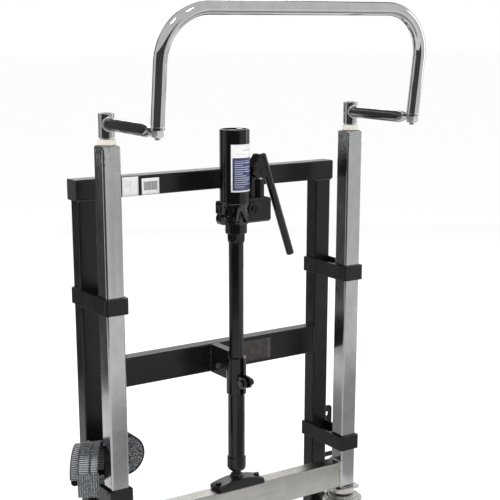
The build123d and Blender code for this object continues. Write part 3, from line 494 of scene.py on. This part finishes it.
# --- finishes of the CAD nodes ------------------------------------------------------------
WEB = 0.05
WEB_THICK = 0.0016
WEB_DARK = (0.012, 0.013, 0.016)
WEB_LIGHT = (0.60, 0.64, 0.67)
finishes = {
    "chrome_tube": chrome("chrome_tube_finish", (0.405, 0.412, 0.413), 0.10, 0.22, (1, 1, 0.02), 0.02, 0.4,
                          (0.925, 0.968)),
    "chrome_beam": chrome("chrome_beam_finish", (0.37, 0.362, 0.338), 0.2, 0.34, (0.05, 1, 1), 0.02, 0.4),
    "chrome_handle": chrome("chrome_handle_finish", (0.47, 0.472, 0.472), 0.04, 0.09, (1, 1, 1),
                            0.008, 0.1),
    "chrome_arm": chrome("chrome_arm_finish", (0.33, 0.333, 0.335), 0.08, 0.18, (1, 0.05, 1), 0.03, 0.4),
    "chrome_rod": chrome("chrome_rod_finish", (0.5, 0.505, 0.51), 0.05, 0.12, (1, 1, 0.05), 0.01, 0.1),
    "ivory_plastic": moulded_plastic("ivory_plastic_finish", (0.80, 0.77, 0.66), 0.45),
    "zinc_plate": plated_steel("zinc_plate_finish", (0.50, 0.49, 0.46)),
    "plain_steel": plated_steel("plain_steel_finish", (0.66, 0.66, 0.66), 0.25, 0.42),
    "black_frame_paint": black_paint("black_frame_finish", (0.0066, 0.0061, 0.0055), 0.20, 0.34, 0.24),
    "black_gloss_paint": black_paint("black_gloss_finish", (0.0035, 0.0034, 0.0033), 0.06, 0.14, 0.3,
                                     0.16, 0.3),
    "black_plastic": moulded_plastic("black_plastic_finish", (0.02, 0.02, 0.021), 0.5),
    "grey_webbing": webbing_material("grey_webbing_finish", WEB_DARK, WEB_LIGHT, "ribs"),
    "cast_hub": plated_steel("cast_hub_finish", (0.42, 0.43, 0.44), 0.4, 0.6),
    "wheel_tread": wheel_material("wheel_tread_finish", (0.06, 0.06, 0.062), 0.45),
}
webbing_edges = webbing_material("webbing_edge_finish", WEB_DARK, WEB_LIGHT, "speckle")
# painted shade: a near-black speckle for the roll's outer turns, standing in for their shadow
webbing_shaded_rim = webbing_material("webbing_shaded_rim_finish", WEB_DARK, (0.045, 0.048, 0.051), "speckle")
webbing_back = webbing_material("webbing_back_finish", WEB_DARK, WEB_LIGHT, "dashes")
webbing_bent = webbing_material("webbing_bent_finish", WEB_DARK, WEB_LIGHT, "bent")
casting = black_paint("black_casting_finish", (0.003, 0.003, 0.003), 0.04, 0.09, 0.6, 0.12, 0.2, 0.8)
weld_chrome = weld_material("weld_chrome_finish", (0.62, 0.62, 0.61))
weld_black = black_paint("weld_black_finish", (0.005, 0.005, 0.005), 0.12, 0.25, 0.5, 0.3, 0.3, 0.8)
for subpart in frame["record"]["subparts"]:
    node = frame["nodes"][subpart["node"]]
    node.data.materials.clear()
    node.data.materials.append(finishes[subpart["material_slot"]])
frame["nodes"]["jack_head"].data.materials[0] = casting


# --- strap --------------------------------------------------------------------------------
ACROSS = Vector((0, 1, 0))


TURNS = 17                   # turns in the roll
SHADED_TURNS = 2.6             # outer turns whose edges are painted dark as shade
TURN_STEPS = 44
CORE_RADIUS = 0.006


def make_roll():
    """The strap wound into a roll that is pressed flat on its -X side, against the upright."""
    low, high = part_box("strap_roll")
    outer = (high.z - low.z) / 2 - WEB_THICK
    centre = Vector((high.x - outer - WEB_THICK, (low.y + high.y) / 2, (low.z + high.z) / 2))
    squash = (centre.x - low.x - WEB_THICK) / outer
    rng = random.Random(4)
    drift = [rng.uniform(-0.0007, 0.0007) for _ in range(TURNS + 2)]
    path = []
    steps = TURNS * TURN_STEPS
    for s in range(steps + 1):
        turn = TURNS * s / steps
        radius = CORE_RADIUS + (outer - CORE_RADIUS) * s / steps
        angle = -2 * math.pi * turn + 1.2
        x = math.cos(angle)
        if x < 0:
            x = -squash * math.tanh(-x / squash * 1.25) / math.tanh(1.25 / squash)
        k = int(turn)
        side = drift[k] + (drift[k + 1] - drift[k]) * (turn - k)
        path.append((centre + Vector((radius * x, side, radius * math.sin(angle))), ACROSS))
    roll, length = strap("strap_roll_webbing", path, WEB - 0.0016, WEB_THICK * 0.95, webbing_edges,
                         "carriage", seed=3)
    # the outer turns take the painted-shade rim finish
    roll.data.materials.append(webbing_shaded_rim)
    faces_per_turn = len(roll.data.polygons) / TURNS
    for polygon in roll.data.polygons:
        polygon.material_index = int(polygon.index > (TURNS - SHADED_TURNS) * faces_per_turn)
    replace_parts(roll, "strap_roll")


def make_bundle():
    """The strap's loose end: it lies on the guide band behind the upright and hangs outside in loops."""
    low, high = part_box("strap_bundle")
    band_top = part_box("guide_bands_lower")[1].z
    y_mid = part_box("strap_roll")[0].y + 0.026
    tail = [(0.004, 0.0035), (0.015, 0.0020), (0.037, 0.0015), (0.053, 0.0025)]
    knots = [Vector((high.x - inward, y_mid, band_top + rise)) for inward, rise in tail]
    path = [(p, ACROSS) for p in smooth_path(knots, 0.006)]
    under, length = strap("strap_tail_webbing", path, WEB - 0.002, WEB_THICK, finishes["grey_webbing"],
                          "carriage", seed=8)

    facing = math.radians(-30)
    wide = Vector((math.cos(facing), math.sin(facing), 0))
    back = Vector((-math.sin(facing), math.cos(facing), 0))
    centre = Vector((low.x + 0.026, low.y + 0.0226, low.z))

    def place(depth, rise, aside=0.0):
        """A point by its depth behind the bundle's middle, height in it, and way to the right."""
        return centre + back * depth + wide * aside + Vector((0, 0, rise))

    def hang(name, line, lean, width, spacing, material, seed, ruffle=0.0):
        path = [(p, wide + Vector((0, 0, lean))) for p in smooth_path([place(*k) for k in line], spacing)]
        made, length = strap(name, path, width, WEB_THICK, material, "carriage",
                             seed=seed, ruffle=ruffle)
        return made

    coil = []
    for k in range(3):
        shrink = k * 0.0038
        near, far, middle = -0.0150 + shrink, 0.0170 - shrink, 0.0010
        coil += [(far, 0.036 + shrink), (far + 0.0005, 0.064), (far - 0.002, 0.078 - shrink),
                 (middle, 0.095 - shrink), (near + 0.003, 0.078 - shrink), (near - 0.0005, 0.059),
                 (near, 0.036 + shrink), (middle, 0.021 + shrink)]
    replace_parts(hang("strap_bundle_webbing", coil, 0.0, 0.038, 0.005, webbing_back, 5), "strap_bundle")
    hump = [(-0.0205, 0.0150), (-0.0228, 0.0300), (-0.0240, 0.0520), (-0.0230, 0.0720, 0.001),
            (-0.0185, 0.0900, 0.003), (-0.0090, 0.1035, 0.006), (0.0050, 0.1075, 0.010),
            (0.0160, 0.1010, 0.012), (0.0210, 0.0840, 0.012), (0.0225, 0.0620, 0.012),
            (0.0220, 0.0380, 0.012)]
    hang("strap_hump_webbing", hump, 0.10, 0.041, 0.004, webbing_bent, 6)
    apron = [(-0.0262, 0.0490, 0.001), (-0.0275, 0.0390, 0.001), (-0.0270, 0.0240, 0.001),
             (-0.0255, 0.0090, 0.001), (-0.0240, -0.0050, 0.001)]
    hang("strap_end_webbing", apron, 0.0, 0.044, 0.004, webbing_back, 6,
         ruffle=0.0005)
    fold = [(-0.0040, 0.0260, -0.0240), (-0.0060, 0.0460, -0.0235), (-0.0050, 0.0680, -0.0215),
            (0.0000, 0.0870, -0.0180), (0.0070, 0.0990, -0.0140), (0.0150, 0.1030, -0.0110),
            (0.0220, 0.0940, -0.0090)]
    hang("strap_fold_webbing", fold, 0.30, 0.030, 0.005, finishes["grey_webbing"], 7)


# --- labels -------------------------------------------------------------------------------
def label(name, place, columns, rows, thickness, material, body):
    """A thin sticker: place(u, v) gives the point and outward normal for u and v from 0 to 1."""
    grid = [(i / columns, j / rows) for j in range(rows + 1) for i in range(columns + 1)]
    points = []
    for lift in (0.05, 1.0):
        for u, v in grid:
            point, normal = place(u, v)
            points.append(point + normal * thickness * lift)
    half = len(grid)
    row = columns + 1
    faces = []
    for j in range(rows):
        for i in range(columns):
            a = j * row + i
            faces.append((half + a, half + a + 1, half + a + row + 1, half + a + row))
            faces.append((a, a + row, a + row + 1, a + 1))
    rim = (list(range(row)) + [j * row + columns for j in range(1, rows + 1)]
           + [rows * row + i for i in range(columns - 1, -1, -1)]
           + [j * row for j in range(rows - 1, 0, -1)])
    for a, b in zip(rim, rim[1:] + rim[:1]):
        faces.append((a, b, half + b, half + a))
    made = piece(name, points, faces, material, body)
    layer = made.data.uv_layers.new(name="print")
    for loop in made.data.loops:
        layer.data[loop.index].uv = grid[loop.vertex_index % half]
    return made


STICKER = 0.0003             # thickness
PANEL_ANGLES = (-136.6, -23.0)
PANEL_RISE = (0.027, 0.126)  # the panel's edges above the reservoir's bottom


def make_labels():
    low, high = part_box("reservoir")
    middle, radius = (low + high) / 2, (high.x - low.x) / 2

    def on_reservoir(u, v):
        angle = math.radians(PANEL_ANGLES[0] + (PANEL_ANGLES[1] - PANEL_ANGLES[0]) * u)
        out = Vector((math.cos(angle), math.sin(angle), 0))
        z = low.z + PANEL_RISE[0] + (PANEL_RISE[1] - PANEL_RISE[0]) * v
        return Vector((middle.x, middle.y, z)) + out * radius, out

    label("reservoir_label", on_reservoir, 40, 4, STICKER, label_material("reservoir_label_print", "panel"),
          "carriage")

    def on_bar(name, node, x0, x1, above, below, columns, style):
        """A sticker on the front of a crossbar, from above its lower edge to below its upper edge."""
        bar_low, bar_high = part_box(node)
        z0, z1 = bar_low.z + above, bar_high.z - below

        def place(u, v):
            return Vector((x0 + (x1 - x0) * u, bar_low.y, z0 + (z1 - z0) * v)), Vector((0, -1, 0))

        label(name, place, columns, 6, STICKER, label_material(f"{name}_print", style), "carriage")

    on_bar("crossbar_label_1", "top_crossbar", -0.222, -0.184, 0.001, 0.0015, 6, "lines")
    on_bar("crossbar_label_2", "top_crossbar", -0.176, -0.134, 0.0015, 0.007, 6, "block")
    on_bar("mid_panel", "mid_crossbar", 0.045, 0.155, 0.008, 0.008, 8, "blank")


# --- weld beads ---------------------------------------------------------------------------
def line_path(start, end, out, step=0.004):
    count = max(2, round((end - start).length / step))
    return [(start.lerp(end, i / count), out) for i in range(count + 1)]


ARM_WELD_Z = 1.0356          # height of an arm's tube, where it joins its stub
ARM_TUBE_RADIUS = 0.0129
ARM_STUB_RADIUS = 0.0164
ARM_SWING = math.radians(-1.5)


def black_bead(name, start, end, out, radius, seed):
    bead(name, line_path(Vector(start), Vector(end), Vector(out)), radius, weld_black, "carriage",
         seed=seed, closed=False)


def make_welds():
    upright_low, upright_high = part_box("upright_right")
    beam_low, beam_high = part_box("lower_beam")
    top_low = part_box("top_crossbar")[0]
    mid_low, mid_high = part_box("mid_crossbar")
    for side, name in ((-1, "left"), (1, "right")):
        x = side * (beam_high.x - 0.0008)
        corners = [(beam_low.y, beam_low.z), (beam_high.y, beam_low.z), (beam_high.y, beam_high.z),
                   (beam_low.y, beam_high.z)]
        path = []
        for (ya, za), (yb, zb) in zip(corners, corners[1:] + corners[:1]):
            start, end = Vector((x, ya, za)), Vector((x, yb, zb))
            path += line_path(start, end, Vector((-side, 0, 0)), 0.0035)[:-1]
        bead(f"beam_weld_{name}", path, 0.0029, weld_chrome, "frame", seed=11 + side)

        stub_x = side * (upright_low.x + upright_high.x) / 2
        stub_y = (upright_low.y + upright_high.y) / 2
        place = Matrix.Translation((stub_x, stub_y, 0)) @ Matrix.Rotation(ARM_SWING, 4, "Z")
        path = []
        for k in range(26):
            turn = 2 * math.pi * k / 26
            px, pz = ARM_TUBE_RADIUS * math.cos(turn), ARM_TUBE_RADIUS * math.sin(turn)
            py = -math.sqrt(ARM_STUB_RADIUS ** 2 - px ** 2)
            out = Vector((math.cos(turn), -0.8, math.sin(turn)))
            path.append((place @ Vector((px, py, ARM_WELD_Z + pz)), place.to_3x3() @ out))
        bead(f"arm_weld_{name}", path, 0.0022, weld_chrome, f"arm_{name}", seed=21 + side)

        post_low, post_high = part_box(f"post_{name}")
        inner = post_high.x if side < 0 else post_low.x
        outer = post_low.x if side < 0 else post_high.x
        for level in ("lower", "upper"):
            band_low, band_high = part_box(f"guide_bands_{level}")
            for z, tag, up in ((band_low.z, "under", -1), (band_high.z, "over", 1)):
                black_bead(f"band_weld_{level}_{tag}_{name}", (outer, post_low.y + 0.001, z),
                           (outer, post_high.y - 0.002, z), (side, 0, up), 0.0018, 31 + side)
        for z, tag, up in ((mid_low.z, "under", -1), (mid_high.z, "over", 1)):
            black_bead(f"mid_weld_{tag}_{name}", (inner, mid_low.y + 0.004, z),
                       (inner, mid_high.y - 0.004, z), (-side, 0, up), 0.002, 41 + side)
        black_bead(f"mid_weld_front_{name}", (inner, mid_low.y, mid_low.z + 0.004),
                   (inner, mid_low.y, mid_high.z - 0.004), (-side, -1, 0), 0.002, 45 + side)
        black_bead(f"post_weld_{name}", (inner, post_low.y, top_low.z), (outer, post_low.y, top_low.z),
                   (0, -1, -1), 0.002, 51 + side)

    low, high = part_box("reservoir")
    middle, radius = (low + high) / 2, (high.x - low.x) / 2
    path = []
    for k in range(60):
        turn = 2 * math.pi * k / 60
        out = Vector((math.cos(turn), math.sin(turn), 0))
        path.append((Vector((middle.x, middle.y, low.z + 0.0005)) + out * (radius - 0.0006), out))
    bead("reservoir_weld", path, 0.0017, weld_black, "carriage", seed=61)
    bracket_low, bracket_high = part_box("jack_bracket")
    black_bead("bracket_weld", (bracket_low.x, mid_low.y, bracket_low.z + 0.002),
               (bracket_low.x, mid_low.y, bracket_high.z - 0.002), (-1, -1, 0), 0.0018, 71)


make_camera()
make_studio()
make_roll()
make_bundle()
make_labels()
make_welds()
